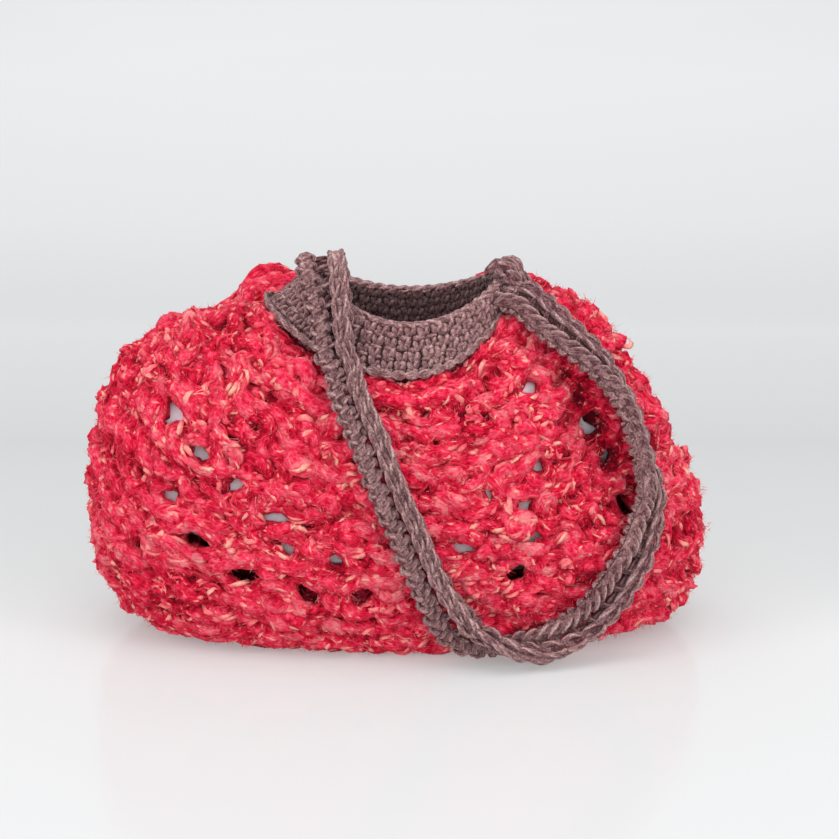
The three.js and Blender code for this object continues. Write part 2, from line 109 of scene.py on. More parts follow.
def skinTable():
    s = skinSizes
    middle = bodyRings[0][8] * s["width"] / 2
    table = []
    for left, right, front, back, *rise in mouthRings:
        heights = [h * s["shoulder"] + r * s["collarHeight"] for h, r in zip(seamHeights, rise)]
        reach = (middle - left * s["mouthWidth"] / 2, middle + right * s["mouthWidth"] / 2,
                 -front * s["mouthDepth"] / 2, back * s["mouthDepth"] / 2)
        table.append([*reach, *heights, middle, 2.0])
    for left, right, front, back, upL, upR, upF, upB, mid, power in bodyRings:
        reach = (-left * s["width"] / 2, right * s["width"] / 2,
                 -front * s["depth"] / 2, back * s["depth"] / 2)
        heights = [up * s["shoulder"] for up in (upL, upR, upF, upB)]
        table.append([*reach, *heights, mid * s["width"] / 2, power])
    return np.array(table)


skinRows = skinTable()
seamRing = 1
lastRing = len(skinRows) - 1


def readTable(table, place):  # Catmull-Rom between the rows
    place = np.clip(np.asarray(place, float), 0, len(table) - 1)
    index = np.minimum(place.astype(int), len(table) - 2)
    t = (place - index)[..., None]
    start, end = table[index], table[index + 1]
    before = np.where((index > 0)[..., None], table[np.maximum(index - 1, 0)], 2 * start - end)
    following = table[np.minimum(index + 2, len(table) - 1)]
    after = np.where((index < len(table) - 2)[..., None], following, 2 * end - start)
    slopeIn = (end - before) / 2
    slopeOut = (after - start) / 2
    rise = end - start
    bend = 3 * rise - 2 * slopeIn - slopeOut
    return start + t * (slopeIn + t * (bend + t * (slopeIn + slopeOut - 2 * rise)))


def basePoint(ring, turn):
    row = readTable(skinRows, ring)
    cos, sin = np.cos(turn), np.sin(turn)
    power = 2 / row[..., 9]
    middle = row[..., 8]
    reachX = np.where(cos < 0, middle - row[..., 0], row[..., 1] - middle)
    reachY = np.where(sin < 0, -row[..., 2], row[..., 3])
    sideUp = np.where(cos < 0, row[..., 4], row[..., 5])
    middleUp = np.where(sin < 0, row[..., 6], row[..., 7])
    x = middle + reachX * np.sign(cos) * np.abs(cos) ** power
    y = reachY * np.sign(sin) * np.abs(sin) ** power
    z = np.maximum(sideUp * cos ** 2 + middleUp * sin ** 2, 0)
    return np.stack([x, y, z], -1)


def unit(vectors):
    return vectors / (np.linalg.norm(vectors, axis=-1, keepdims=True) + 1e-12)


def skinNormal(ring, turn, step=0.02):
    down = basePoint(np.minimum(ring + step, lastRing), turn) - basePoint(np.maximum(ring - step, 0), turn)
    around = basePoint(ring, turn + step) - basePoint(ring, turn - step)
    return unit(np.cross(down, around))


def swellAt(ring, turn):
    total = np.zeros(np.shape(ring))
    for place, atRing, lift, turnSpread, ringSpread in swells:
        away = (np.degrees(turn) - place + 180) % 360 - 180
        near = np.exp(-(away / turnSpread) ** 2 - ((ring - atRing) / ringSpread) ** 2)
        total += lift * skinSizes["depth"] * near
    return total * np.clip((lastRing - 2 - ring) / 1.5, 0, 1) * np.clip((ring - seamRing) / 0.8, 0, 1)


def skin(ring, turn, out=0.0):
    ring, turn = np.broadcast_arrays(np.asarray(ring, float), np.asarray(turn, float))
    normal = skinNormal(ring, turn)
    return basePoint(ring, turn) + normal * (swellAt(ring, turn) + out)[..., None] + skinShift, normal


skinShift = np.zeros(3)
bodyLow, bodyHigh = (np.array(corner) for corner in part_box("body"))
probe, _ = skin(np.linspace(seamRing, lastRing, 80)[:, None], np.radians(np.arange(0, 360, 3))[None])
skinShift = (bodyLow + bodyHigh) / 2 - (probe.reshape(-1, 3).min(0) + probe.reshape(-1, 3).max(0)) / 2
skinShift[2] = 0
print("skin placed, shift", np.round(skinShift, 4))


def smoothNoise(rng, count, spacing):  # one random wave, with a new value after so many samples
    knots = rng.normal(0, 1, count // spacing + 4)
    at = np.arange(count) / spacing
    index = at.astype(int)
    t = at - index
    ease = t * t * (3 - 2 * t)
    return knots[index] * (1 - ease) + knots[index + 1] * ease


yarnRoughness = 0.16    # how far a rough strand's sides wander, as a share of its radius
floorGap = 0.0002       # yarn flattens this far above the floor


# Yarn is swept in one go: rings of points along many paths, joined into one mesh
class YarnMesh:
    def __init__(self, sides):
        self.sides = sides
        self.points, self.quads, self.corners, self.tones, self.facing = [], [], [], [], []
        self.count = 0

    def add(self, path, radius, guide, tone, taper=2, rough=None):
        # path is one path or many, guide the outward direction there, radius and tone one value a point
        path = path if path.ndim == 3 else path[None]
        guide = np.broadcast_to(guide, path.shape)
        paths, steps, _ = path.shape
        radius = np.broadcast_to(np.asarray(radius, float), (paths, steps)).copy()
        for end in range(taper):
            share = math.sin((end + 0.35) / (taper + 0.35) * math.pi / 2)
            radius[:, end] *= share
            radius[:, -1 - end] *= share
        forward = unit(np.gradient(path, axis=1))
        side = unit(np.cross(forward, guide))
        up = np.cross(side, forward)
        angle = np.arange(self.sides) / self.sides * 2 * math.pi
        spokes = side[:, :, None] * np.cos(angle)[:, None] + up[:, :, None] * np.sin(angle)[:, None]
        if rough is not None:
            spokes = spokes * (1 + rough.normal(0, yarnRoughness, (paths, steps, self.sides, 1)))
        points = path[:, :, None] + radius[:, :, None, None] * spokes
        points[..., 2] = np.maximum(points[..., 2], floorGap)
        # how far each point faces out along the guide, which the materials use to paint shade on the strands'
        # sides and undersides
        self.facing.append(np.einsum("psnk,psk->psn", spokes, guide).ravel())
        start = self.count + np.arange(paths)[:, None, None] * steps * self.sides
        i = np.arange(steps - 1)[None, :, None] * self.sides
        k = np.arange(self.sides)[None, None]
        kNext = (k + 1) % self.sides
        a, b = start + i + k, start + i + kNext
        self.quads.append(np.stack([a, b, b + self.sides, a + self.sides], -1).reshape(-1, 4))
        length = np.cumsum(np.linalg.norm(np.diff(path, axis=1, prepend=path[:, :1]), axis=-1), axis=1)
        u0 = np.broadcast_to(length[:, :-1, None], (paths, steps - 1, k.size))
        u1 = np.broadcast_to(length[:, 1:, None], (paths, steps - 1, k.size))
        v0 = np.broadcast_to(k / self.sides, u0.shape)
        v1 = v0 + 1 / self.sides
        corners = [np.stack(corner, -1) for corner in ((u0, v0), (u0, v1), (u1, v1), (u1, v0))]
        self.corners.append(np.stack(corners, -2).reshape(-1, 2))
        self.points.append(points.reshape(-1, 3))
        tone = np.broadcast_to(tone, (paths, steps))
        self.tones.append(np.repeat(tone.reshape(-1), self.sides))
        self.count += points.size // 3

    def build(self, name, material):
        values = {"tone": np.concatenate(self.tones), "facing": np.concatenate(self.facing)}
        piece = joinedMesh(name, np.concatenate(self.points), np.concatenate(self.quads), values, material)
        uv = piece.data.uv_layers.new(name="alongYarn")
        uv.uv.foreach_set("vector", np.concatenate(self.corners).astype(np.float32).ravel())
        return piece


# Faces with equal numbers of corners, and values one a point
def joinedMesh(name, points, faces, values, material):
    mesh = bpy.data.meshes.new(name)
    corners = faces.shape[1]
    mesh.vertices.add(len(points))
    mesh.vertices.foreach_set("co", points.astype(np.float32).ravel())
    mesh.loops.add(faces.size)
    mesh.loops.foreach_set("vertex_index", faces.astype(np.int32).ravel())
    mesh.polygons.add(len(faces))
    mesh.polygons.foreach_set("loop_start", np.arange(0, faces.size, corners, dtype=np.int32))
    mesh.update(calc_edges=True)
    for key, value in values.items():
        mesh.attributes.new(key, "FLOAT", "POINT").data.foreach_set("value", value.astype(np.float32))
    return addPiece(name, mesh, material)


def addThing(name, data):
    thing = bpy.data.objects.new(name, data)
    bpy.context.scene.collection.objects.link(thing)
    return thing


def addPiece(name, mesh, material):
    mesh.shade_smooth()
    mesh.materials.append(material)
    piece = addThing(name, mesh)
    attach(piece, "root")
    print(name, sum(len(face.vertices) - 2 for face in mesh.polygons), "triangles")
    return piece


def meshOf(name, shape):  # a bmesh turned into a mesh
    mesh = bpy.data.meshes.new(name)
    shape.to_mesh(mesh)
    shape.free()
    return mesh


# A link where the value comes from a node, otherwise the plain value
def plug(tree, slot, value):
    if isinstance(value, Socket):
        value = value.output
    if isinstance(value, bpy.types.NodeSocket):
        tree.links.new(value, slot)
    else:
        slot.default_value = value


# Shader maths as Python expressions
class Socket:
    def __init__(self, tree, output):
        self.tree, self.output = tree, output

    def _math(self, operation, other, swapped=False):
        node = self.tree.nodes.new("ShaderNodeMath")
        node.operation = operation
        pair = [other, self] if swapped else [self, other]
        for slot, value in zip(node.inputs, pair):
            plug(self.tree, slot, value)
        return Socket(self.tree, node.outputs[0])

    def sine(self):
        return self._math("SINE", 0.0)

    def __add__(self, other): return self._math("ADD", other)
    def __radd__(self, other): return self._math("ADD", other, True)
    def __sub__(self, other): return self._math("SUBTRACT", other)
    def __rsub__(self, other): return self._math("SUBTRACT", other, True)
    def __mul__(self, other): return self._math("MULTIPLY", other)
    def __rmul__(self, other): return self._math("MULTIPLY", other, True)
    def __truediv__(self, other): return self._math("DIVIDE", other)
    def __rtruediv__(self, other): return self._math("DIVIDE", other, True)


class Shader:
    def __init__(self, name):
        self.material = bpy.data.materials.new(name)
        self.material.use_nodes = True
        self.tree = self.material.node_tree
        self.surface = self.tree.nodes["Principled BSDF"]

    def node(self, kind, settings=None, **values):  # settings first, then socket values or links
        node = self.tree.nodes.new(kind)
        for key, value in (settings or {}).items():
            if key == "stops":
                ramp = node.color_ramp
                while len(ramp.elements) < len(value):
                    ramp.elements.new(0.5)
                for element, (place, colour) in zip(ramp.elements, value):
                    element.position = place
                    element.color = (*colour, 1)
            else:
                setattr(node, key, value)
        self.fill(node, values)
        return node

    def fill(self, node, values):
        for key, value in values.items():
            wanted = key.replace("_", " ")
            slots = [slot for slot in node.inputs if slot.name == wanted and slot.enabled]
            plug(self.tree, slots[0], value)

    def wrap(self, output):
        return Socket(self.tree, output)

    def noise(self, vector, scale, detail, rough):
        values = {"Vector": vector, "Scale": scale, "Detail": detail, "Roughness": rough}
        return self.wrap(self.node("ShaderNodeTexNoise", **values).outputs[0])

    def ramp(self, value, stops):
        return self.node("ShaderNodeValToRGB", {"stops": stops}, Fac=value).outputs["Color"]

    def mix(self, factor, first, second):
        node = self.node("ShaderNodeMix", {"data_type": "RGBA"})
        colours = [slot for slot in node.inputs if slot.type == "RGBA"]
        factorSlot = [slot for slot in node.inputs if slot.type == "VALUE"][0]
        for slot, value in ((factorSlot, factor), (colours[0], first), (colours[1], second)):
            plug(self.tree, slot, value)
        return [slot for slot in node.outputs if slot.type == "RGBA"][0]

    def place(self):
        return self.node("ShaderNodeTexCoord").outputs["Object"]

    def split(self, vector):  # its x, y and z
        return [self.wrap(output) for output in self.node("ShaderNodeSeparateXYZ", Vector=vector).outputs]

    def attribute(self, name):
        return self.wrap(self.node("ShaderNodeAttribute", {"attribute_name": name}).outputs["Fac"])

    def alongYarn(self, along, around, turn=0.0):
        uv = self.node("ShaderNodeUVMap", {"uv_map": "alongYarn"}).outputs[0]
        spin = self.node("ShaderNodeMapping", Vector=uv, Scale=(along, around, 1))
        spin.inputs["Rotation"].default_value[2] = turn
        return spin.outputs[0]

    def bump(self, height, distance, strength=1.0):
        node = self.node("ShaderNodeBump", Height=height, Distance=distance, Strength=strength)
        self.tree.links.new(node.outputs[0], self.surface.inputs["Normal"])

    def finish(self, colour, roughness, sheen, sheenTint, specular):
        self.fill(self.surface, {"Base_Color": colour, "Roughness": roughness})
        self.surface.inputs["Sheen Weight"].default_value = sheen
        self.surface.inputs["Sheen Roughness"].default_value = 0.4
        self.surface.inputs["Sheen Tint"].default_value = (*sheenTint, 1)
        self.surface.inputs["Specular IOR Level"].default_value = specular
        return self.material


def sRgb(red, green, blue):  # screen colour 0-255 to linear
    shares = [value / 255 for value in (red, green, blue)]
    return tuple(c / 12.92 if c <= 0.04045 else ((c + 0.055) / 1.055) ** 2.4 for c in shares)


def redYarnMaterial():
    shader = Shader("redYarn")
    place = shader.place()
    tone = shader.attribute("tone")
    facing = shader.attribute("facing")
    warp = shader.noise(place, 300, 2.0, 0.5)
    fibres = shader.noise(shader.alongYarn(330, 16), 1.0, 3.0, 0.7)
    hairs = shader.noise(shader.alongYarn(520, 44, 0.5), 1.0, 2.0, 0.6)
    patches = shader.noise(place, 150, 2.0, 0.55)
    level = patches * 0.6 + fibres * 0.62 + hairs * 0.5 + (warp - 0.5) * 0.3
    # tone adds the yarn's random wander and painted shade for deep-lying yarn and the fold; the facing value
    # paints shade on the strands' sides and undersides
    level = level + tone * 0.22 + facing * 0.05 - 0.51
    reds = shader.ramp(level, [
        (0.20, sRgb(92, 4, 22)),
        (0.34, sRgb(164, 10, 36)),
        (0.48, sRgb(218, 28, 62)),
        (0.62, sRgb(232, 66, 94)),
        (0.80, sRgb(230, 122, 128)),
    ])
    flecks = shader.noise(shader.alongYarn(210, 9, 0.6), 1.0, 1.5, 0.5) + (fibres - 0.5) * 0.15
    fleckMask = shader.ramp(flecks + (patches - 0.5) * 0.3, [(0.60, (0, 0, 0)), (0.74, (1, 1, 1))])
    colour = shader.mix(fleckMask, reds, (*sRgb(244, 168, 152), 1))
    shader.bump(fibres * 0.7 + hairs * 0.6 + warp * 0.4, 0.0016, 1.0)
    return shader.finish(colour, 0.95, 0.15, sRgb(255, 130, 140), 0.06)


def plyMaterial():
    shader = Shader("redPlies")
    tone = shader.attribute("tone")
    fibres = shader.noise(shader.alongYarn(420, 5), 1.0, 3.0, 0.7)
    colour = shader.ramp(tone * 0.82 + (fibres - 0.5) * 0.5 + 0.08, [
        (0.10, sRgb(176, 10, 38)),
        (0.35, sRgb(226, 30, 62)),
        (0.60, sRgb(242, 70, 96)),
        (0.75, sRgb(246, 130, 130)),
        (0.86, sRgb(244, 172, 152)),
        (1.00, sRgb(248, 204, 182)),
    ])
    shader.bump(fibres, 0.0008, 0.8)
    return shader.finish(colour, 0.85, 0.3, sRgb(255, 200, 190), 0.15)


def fuzzMaterial():
    shader = Shader("redFuzz")
    colour = shader.ramp(shader.attribute("tone"), [
        (0.0, sRgb(150, 10, 34)),
        (0.3, sRgb(214, 26, 58)),
        (0.75, sRgb(238, 70, 94)),
        (1.0, sRgb(246, 164, 156)),
    ])
    return shader.finish(colour, 0.9, 0.0, (1, 1, 1), 0.1)


def backingMaterial():
    shader = Shader("redBacking")
    place = shader.place()
    clumps = shader.noise(place, 240, 4.0, 0.6)
    # deep red darker than the yarn: partly the yarn's own colour, partly painted shade between the stitches
    colour = shader.ramp(clumps, [(0.3, sRgb(70, 6, 18)), (0.6, sRgb(150, 14, 36))])
    shader.bump(clumps, 0.003, 1.0)
    return shader.finish(colour, 0.95, 0.1, sRgb(255, 120, 120), 0.1)


def brownYarnMaterial(name, paintedShadeScale=1.0):
    shader = Shader(name)
    place = shader.place()
    tone = shader.attribute("tone")
    facing = shader.attribute("facing")
    along, around, _ = shader.split(shader.alongYarn(520, 3.0))
    twist = (along + around * 2 * math.pi).sine()
    heather = shader.noise(place, 900, 3.0, 0.7)
    streaks = shader.noise(shader.alongYarn(240, 9), 1.0, 3.0, 0.7)
    # the facing value paints shade on the strands' sides and undersides; tone is a random wander
    level = heather * 0.6 + streaks * 0.5 + twist * 0.05 + tone * 0.12 + facing * 0.05 - 0.15
    stops = [(0.34, (74, 40, 44)), (0.46, (128, 90, 92)), (0.56, (160, 124, 123)), (0.68, (200, 168, 162))]
    # a scale below 1 darkens the whole ramp: a shaded copy of the yarn, painted shade
    colour = shader.ramp(level, [(at, tuple(paintedShadeScale * c for c in sRgb(*rgb))) for at, rgb in stops])
    shader.bump(twist * 0.6 + streaks * 0.5, 0.0006, 0.9)
    return shader.finish(colour, 0.85, 0.25, sRgb(220, 190, 190), 0.2)


def clothMaterial():
    shader = Shader("liningCloth")
    place = shader.place()
    across, _, down = shader.split(place)
    threads = 5200      # one wave of the weave every 1.2 mm
    weave = (across * threads).sine() * (down * threads).sine()
    soft = shader.noise(place, 60, 3.0, 0.6)
    colour = shader.ramp(soft * 0.8 + weave * 0.05 + 0.1, [
        (0.3, sRgb(214, 200, 212)),
        (0.6, sRgb(238, 232, 240)),
        (0.8, sRgb(250, 246, 252)),
    ])
    shader.bump(weave * 0.3 + soft, 0.0004, 0.6)
    return shader.finish(colour, 0.9, 0.15, (1, 1, 1), 0.2)


# Each gap on the skin: its middle, the ways out, round and down there, and half its width and height
def findGaps():
    g = gapWork
    rng = np.random.default_rng(g["seed"])
    gaps = list(frontGaps)
    for ring, first, last, count in backGapRows:
        gaps += [(degrees, ring, g["backWide"], g["backHigh"]) for degrees in np.linspace(first, last, count)]
    spots = []
    for degrees, ring, wide, high in gaps:
        turn = math.radians(degrees)
        spot, out = skin(ring, turn, g["sunk"])
        around = unit(basePoint(ring, turn + 0.02) - basePoint(ring, turn - 0.02))
        around = unit(around + np.cross(around, out) * rng.uniform(-g["tilt"], g["tilt"]))
        spots.append((spot, out, around, np.cross(around, out), wide / 2000, high / 2000))
    return spots


gapSpots = findGaps()
print("gaps found", len(gapSpots))


def clearOfGaps(points):  # each stretch of yarn that would cross a gap goes round one side of it
    margin = gapWork["yarnClear"]
    moved = points.copy()
    for spot, out, around, down, halfWide, halfHigh in gapSpots:
        away = moved - spot
        a, d = away @ around, away @ down
        wide, high = halfWide + margin, halfHigh + margin
        inside = (np.abs(away @ out) < gapWork["reach"]) & ((a / wide) ** 2 + (d / high) ** 2 < 1)
        if not inside.any():
            continue
        marks = np.flatnonzero(np.diff(np.concatenate([[0], inside.astype(int), [0]])))
        for first, last in zip(marks[::2], marks[1::2]):
            run = slice(first, last)
            if np.ptp(a[run]) / wide >= np.ptp(d[run]) / high:
                side = 1 if d[run].mean() > 0 else -1
                push = side * high * np.sqrt(np.maximum(1 - (a[run] / wide) ** 2, 0)) - d[run]
                moved[run] += push[:, None] * down
            else:
                side = 1 if a[run].mean() > 0 else -1
                push = side * wide * np.sqrt(np.maximum(1 - (d[run] / high) ** 2, 0)) - a[run]
                moved[run] += push[:, None] * around
    return moved


def arcLengths(points):  # along a path, from 0 at its start
    return np.concatenate([[0], np.cumsum(np.linalg.norm(np.diff(points, axis=0), axis=1))])


arcSteps = 720          # how finely a ring's arc is measured


def ringArc(ring):  # the ring's girth, and a function from shares of it to turns
    fine = np.linspace(0, 2 * math.pi, 2 * arcSteps + 1)
    points, _ = skin(np.full_like(fine, ring), fine)
    length = arcLengths(points)
    marks = np.arange(arcSteps + 1) / arcSteps
    turns = np.append(np.interp(marks[:-1] * length[-1], length, fine), 2 * math.pi)
    return length[-1], lambda share: np.interp(share % 1.0, marks, turns)


redYarn = {
    "rows": 16,             # crochet rows from the seam to the middle of the base
    "firstRing": 1.32,
    "lastRing": 13.6,
    "stitch": 0.0150,       # width of one stitch
    "samples": 14,          # points a stitch
    "radius": 0.0038,
    "thinnest": 0.0023,
    "thickest": 0.0050,
    "lumps": 0.30,          # how far the thickness wanders, as a share
    "sides": 8,
    "sunk": -0.0066,
    "bulge": 0.0034,
    "wander": 0.0015,
    "puff": 0.0011,         # and how far a whole row does
    "loop": 0.62,           # how far a loop leans along its row, in stitches
    "slip": 0.0016,         # how far it strays along it
    "swing": 0.56,          # how far it reaches up and down, in row spacings
    "sway": 0.22,           # how far the whole row wanders up and down
    "stagger": 0.12,
    "strands": 2,
    "floorRings": 3.2,      # this many rings at the bottom stay inside the skin
    "seed": 11,
}
# The deep fold along the strap's right stretch, by turn and rings; dark is painted shade, how far the yarn's
# tone darkens in the fold
fold = {"turn": 327.0, "wide": 3.2, "top": 3.3, "foot": 7.9, "deep": 0.0052, "dark": 0.75}


def rowRings():  # rows lie equally far apart down the skin
    fine = np.linspace(redYarn["firstRing"], redYarn["lastRing"], 300)
    points, _ = skin(fine[:, None], np.radians(np.arange(0, 360, 15))[None])
    steps = np.linalg.norm(np.diff(points, axis=0), axis=2).mean(1)
    down = np.concatenate([[0], np.cumsum(steps)])
    return np.interp(np.linspace(0, down[-1], redYarn["rows"]), down, fine)


def makeRedYarn(material):
    y = redYarn
    rng = np.random.default_rng(y["seed"])
    rings = rowRings()
    spacings = np.gradient(rings)
    longestRow = 3000
    paths = []
    yarns = [YarnMesh(y["sides"]) for _ in range(y["strands"])]
    for r, ring in enumerate(rings):
        spacing = spacings[r]
        sway = smoothNoise(rng, longestRow, 45) * y["sway"] * spacing
        puff = smoothNoise(rng, longestRow, 14) * y["puff"]
        girth, turnAt = ringArc(ring)
        stitches = max(int(girth / y["stitch"]), 5)
        for strand in range(y["strands"]):
            count = stitches * y["samples"]
            steps = np.arange(count + 1)
            phase = steps / y["samples"] * 2 * math.pi + strand * math.pi
            lean = 1 if (r + strand) % 2 else -1
            along = steps / count + y["loop"] * y["stitch"] / girth * np.sin(phase) * lean
            along = along + smoothNoise(rng, count + 1, 9) * y["slip"] / girth
            swing = y["swing"] * (1 + 0.22 * smoothNoise(rng, count + 1, 22))
            rise = swing * spacing * np.cos(phase) + smoothNoise(rng, count + 1, 8) * 0.12 * spacing
            rise = rise + sway[:count + 1] * np.minimum(1, np.minimum(steps, count - steps) / 40)
            atTurn = turnAt(along)
            atRing = ring + rise + y["stagger"] * spacing * math.sin(r)
            atRing = np.clip(atRing, seamRing + 0.3, lastRing - 0.02)
            out = y["sunk"] + y["bulge"] * np.cos(phase * 2 + 0.8 * lean)
            out = out + smoothNoise(rng, count + 1, 7) * y["wander"] + puff[:count + 1]
            inFold = np.exp(-((np.degrees(atTurn) - fold["turn"]) / fold["wide"]) ** 2)
            inFold = inFold * np.clip((atRing - fold["top"]) * 2, 0, 1)
            inFold = inFold * np.clip((fold["foot"] - atRing) * 2, 0, 1)
            out = out - fold["deep"] * inFold
            low = np.clip((atRing - (lastRing - y["floorRings"])) / 1.2, 0, 1)
            out = out * (1 - low) + low * np.minimum(out, -y["radius"] - 0.0005)
            path, normal = skin(atRing, atTurn, out)
            radius = y["radius"] * (1 + y["lumps"] * smoothNoise(rng, count + 1, 4))
            radius = np.clip(radius, y["thinnest"], y["thickest"])
            path = clearOfGaps(path)
            for _ in range(2):
                path[1:-1] = (path[:-2] + 2 * path[1:-1] + path[2:]) / 4
            path[:, 2] = np.maximum(path[:, 2], radius * 0.95)
            # tone: a random wander, plus painted shade: yarn lying deeper in the skin is darker, and darker
            # still in the deep fold by the strap
            height = np.clip((out - y["sunk"]) / (y["bulge"] + y["wander"]), -1.2, 1.2)
            tone = smoothNoise(rng, count + 1, 22) * 0.35 + 0.5 + height * 0.35 - fold["dark"] * inFold
            yarns[strand].add(path, radius, normal, tone[None], 2, rng)
            paths.append((path, normal, radius))
    for index, yarn in enumerate(yarns):
        piece = yarn.build(f"red_yarn_{index + 1}", material)
        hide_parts("body")
    return paths


plies = {
    # count, darkest and lightest tone, shortest and longest in path steps, thickness
    "crimson": (2400, 0.05, 0.60, 1.4, 4.0, 0.0009),
    "peach": (3900, 0.62, 1.00, 0.9, 2.6, 0.0018),
    "clusters": 680,        # the peach ones lie in so many clusters
    "clusterSpread": 6.0,   # in path steps
    "loft": 0.0006,         # how far their middles stand off the yarn
    "lowest": 0.0008,
    "steps": 6,
    "sides": 3,
    "seed": 5,
}


def makePlies(paths, material):
    p = plies
    rng = np.random.default_rng(p["seed"])
    lengths = np.array([len(path) for path, _, _ in paths], float)
    t = np.linspace(0, 1, p["steps"])
    arch = np.sin(t * math.pi)
    for colour in ("crimson", "peach"):
        total, dark, light, shortest, longest, thickness = p[colour]
        yarn = YarnMesh(p["sides"])
        chosen = rng.choice(len(paths), total, p=lengths / lengths.sum())
        for index, (path, normal, radius) in enumerate(paths):
            count = int((chosen == index).sum())
            if not count:
                continue
            lastStart = len(path) - 6
            start = rng.uniform(0, lastStart, count)
            if colour == "peach":
                clusters = max(1, round(p["clusters"] * len(path) / lengths.sum()))
                centres = rng.uniform(0, lastStart, clusters)
                start = rng.choice(centres, count) + rng.normal(0, p["clusterSpread"], count)
                start = np.clip(start, 0, lastStart)
            at = start[:, None] + rng.uniform(shortest, longest, count)[:, None] * t
            low = at.astype(int)
            share = (at - low)[..., None]
            centre = path[low] * (1 - share) + path[low + 1] * share
            out = unit(normal[low] * (1 - share) + normal[low + 1] * share)
            side = unit(np.cross(unit(path[low + 1] - path[low]), out))
            angle = rng.uniform(0.10, 0.90, count)[:, None] * math.pi
            angle = angle + rng.normal(1.2, 0.6, count)[:, None] * (t - 0.5)   # each winds a little round
            around = np.cos(angle)[..., None] * side + np.sin(angle)[..., None] * out
            lift = radius[low] * rng.uniform(0.85, 1.08, count)[:, None] + p["loft"] * arch
            strand = centre + lift[..., None] * around
            strand[..., 2] = np.maximum(strand[..., 2], p["lowest"])
            thick = thickness * rng.uniform(0.5, 1.15, count)[:, None] * (0.4 + 0.6 * arch)
            tone = 0.45 + (rng.uniform(dark, light, count)[:, None] - 0.45) * arch ** 0.7
            yarn.add(strand, thick, around, tone, 1)
        piece = yarn.build(colour + "_plies", material)
        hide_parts("body")


fuzz = {
    # how many hairs, shortest and longest, width at the root
    "short_fuzz": (126000, 0.0012, 0.0034, 0.00040),
    "long_fuzz": (84000, 0.0024, 0.0062, 0.00032),
    "standing": 0.52,       # 0 lies any way, 1 stands straight up
    "root": 0.92,           # how far out in the yarn a hair starts
    "lowest": 0.0004,
    "farthest": 0.006,      # points farther apart than this belong to two rows
    "seed": 9,
}


def makeFuzz(paths, material):  # each hair is one thin triangle
    f = fuzz
    rng = np.random.default_rng(f["seed"])
    points = np.concatenate([path for path, _, _ in paths])
    normals = np.concatenate([normal for _, normal, _ in paths])
    radii = np.concatenate([radius for _, _, radius in paths])
    for name in ("short_fuzz", "long_fuzz"):
        count, shortest, longest, width = f[name]
        chosen = rng.integers(0, len(points) - 1, count)
        share = rng.uniform(0, 1, (count, 1))
        centre = points[chosen] * (1 - share) + points[chosen + 1] * share
        sameRow = np.linalg.norm(points[chosen + 1] - points[chosen], axis=1) < f["farthest"]
        centre = np.where(sameRow[:, None], centre, points[chosen])
        out = unit(normals[chosen] * 0.6 + unit(rng.normal(0, 1, (count, 3))))
        root = centre + out * radii[chosen][:, None] * f["root"]
        along = unit(rng.normal(0, 1, (count, 3)))
        way = unit(along * (1 - f["standing"]) + out * f["standing"])
        tip = root + way * (shortest + (longest - shortest) * rng.uniform(0, 1, (count, 1)) ** 2)
        side = unit(np.cross(way, rng.normal(0, 1, (count, 3)))) * width / 2
        hairs = np.stack([root - side, root + side, tip], 1)
        hairs[..., 2] = np.maximum(hairs[..., 2], f["lowest"])
        tone = np.repeat(rng.uniform(0, 1, count), 3)
        corners = np.arange(count * 3).reshape(-1, 3)
        piece = joinedMesh(name, hairs.reshape(-1, 3), corners, {"tone": tone}, material)
        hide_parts("body")


# A thin shell behind the yarn, open at each gap
backing = {
    "columns": 200,
    "rows": 76,
    "sunk": -0.0076,
    "thickness": 0.0016,
}


def makeBacking(material):
    b = backing
    rings = np.linspace(seamRing, lastRing - 0.3, b["rows"])
    turns = np.arange(b["columns"]) / b["columns"] * 2 * math.pi
    outer, normal = skin(rings[:, None], turns[None], b["sunk"])
    holed = np.zeros(outer.shape[:2], bool)
    clear = gapWork["backingClear"]
    for spot, out, around, down, halfWide, halfHigh in gapSpots:
        away = outer - spot
        inside = ((away @ around) / (halfWide + clear)) ** 2 + ((away @ down) / (halfHigh + clear)) ** 2 < 1
        holed |= inside & (np.abs(away @ out) < gapWork["reach"])
    shell = bmesh.new()
    layers = [[[shell.verts.new(point) for point in row] for row in outer - normal * depth]
              for depth in (0.0, b["thickness"])]
    cells = np.ones((b["rows"] - 1, b["columns"]), bool)
    for r in range(b["rows"] - 1):
        for c in range(b["columns"]):
            d = (c + 1) % b["columns"]
            cells[r, c] = not (holed[r, c] or holed[r + 1, c] or holed[r, d] or holed[r + 1, d])
    for r, c in zip(*np.nonzero(cells)):
        d = (c + 1) % b["columns"]
        corners = [(r, c), (r + 1, c), (r + 1, d), (r, d)]
        shell.faces.new([layers[0][i][k] for i, k in corners])
        shell.faces.new([layers[1][i][k] for i, k in reversed(corners)])
        beside = [(r, (c - 1) % b["columns"]), (r + 1, c), (r, d), (r - 1, c)]
        for side, (i, k) in enumerate(beside):
            if i < 0 or i >= b["rows"] - 1 or not cells[i, k]:
                first, second = corners[side], corners[(side + 1) % 4]
                shell.faces.new([layers[0][second[0]][second[1]], layers[0][first[0]][first[1]],
                                 layers[1][first[0]][first[1]], layers[1][second[0]][second[1]]])
    loose = [vert for vert in shell.verts if not vert.link_faces]
    bmesh.ops.delete(shell, geom=loose, context="VERTS")
    piece = addPiece("red_backing", meshOf("red_backing", shell), material)
    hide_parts("body")


lining = {
    "columns": 72,
    "rows": 30,
    "under": 0.0101,        # how far it hangs inside the yarn
    "clear": 0.0055,        # and how much more just below the seam
    "lowRing": 7.5,         # below this ring the pouch draws in and up
    "drawIn": 0.32,
    "drawUp": 0.026,
    "creaseTurn": 326,      # it falls away behind the red yarn's deep fold too
    "creaseWide": 14,
    "creaseTop": 3.9,
    "fold": 0.0012,
    "foldWaves": (19, 7),
    "thickness": 0.0011,
}


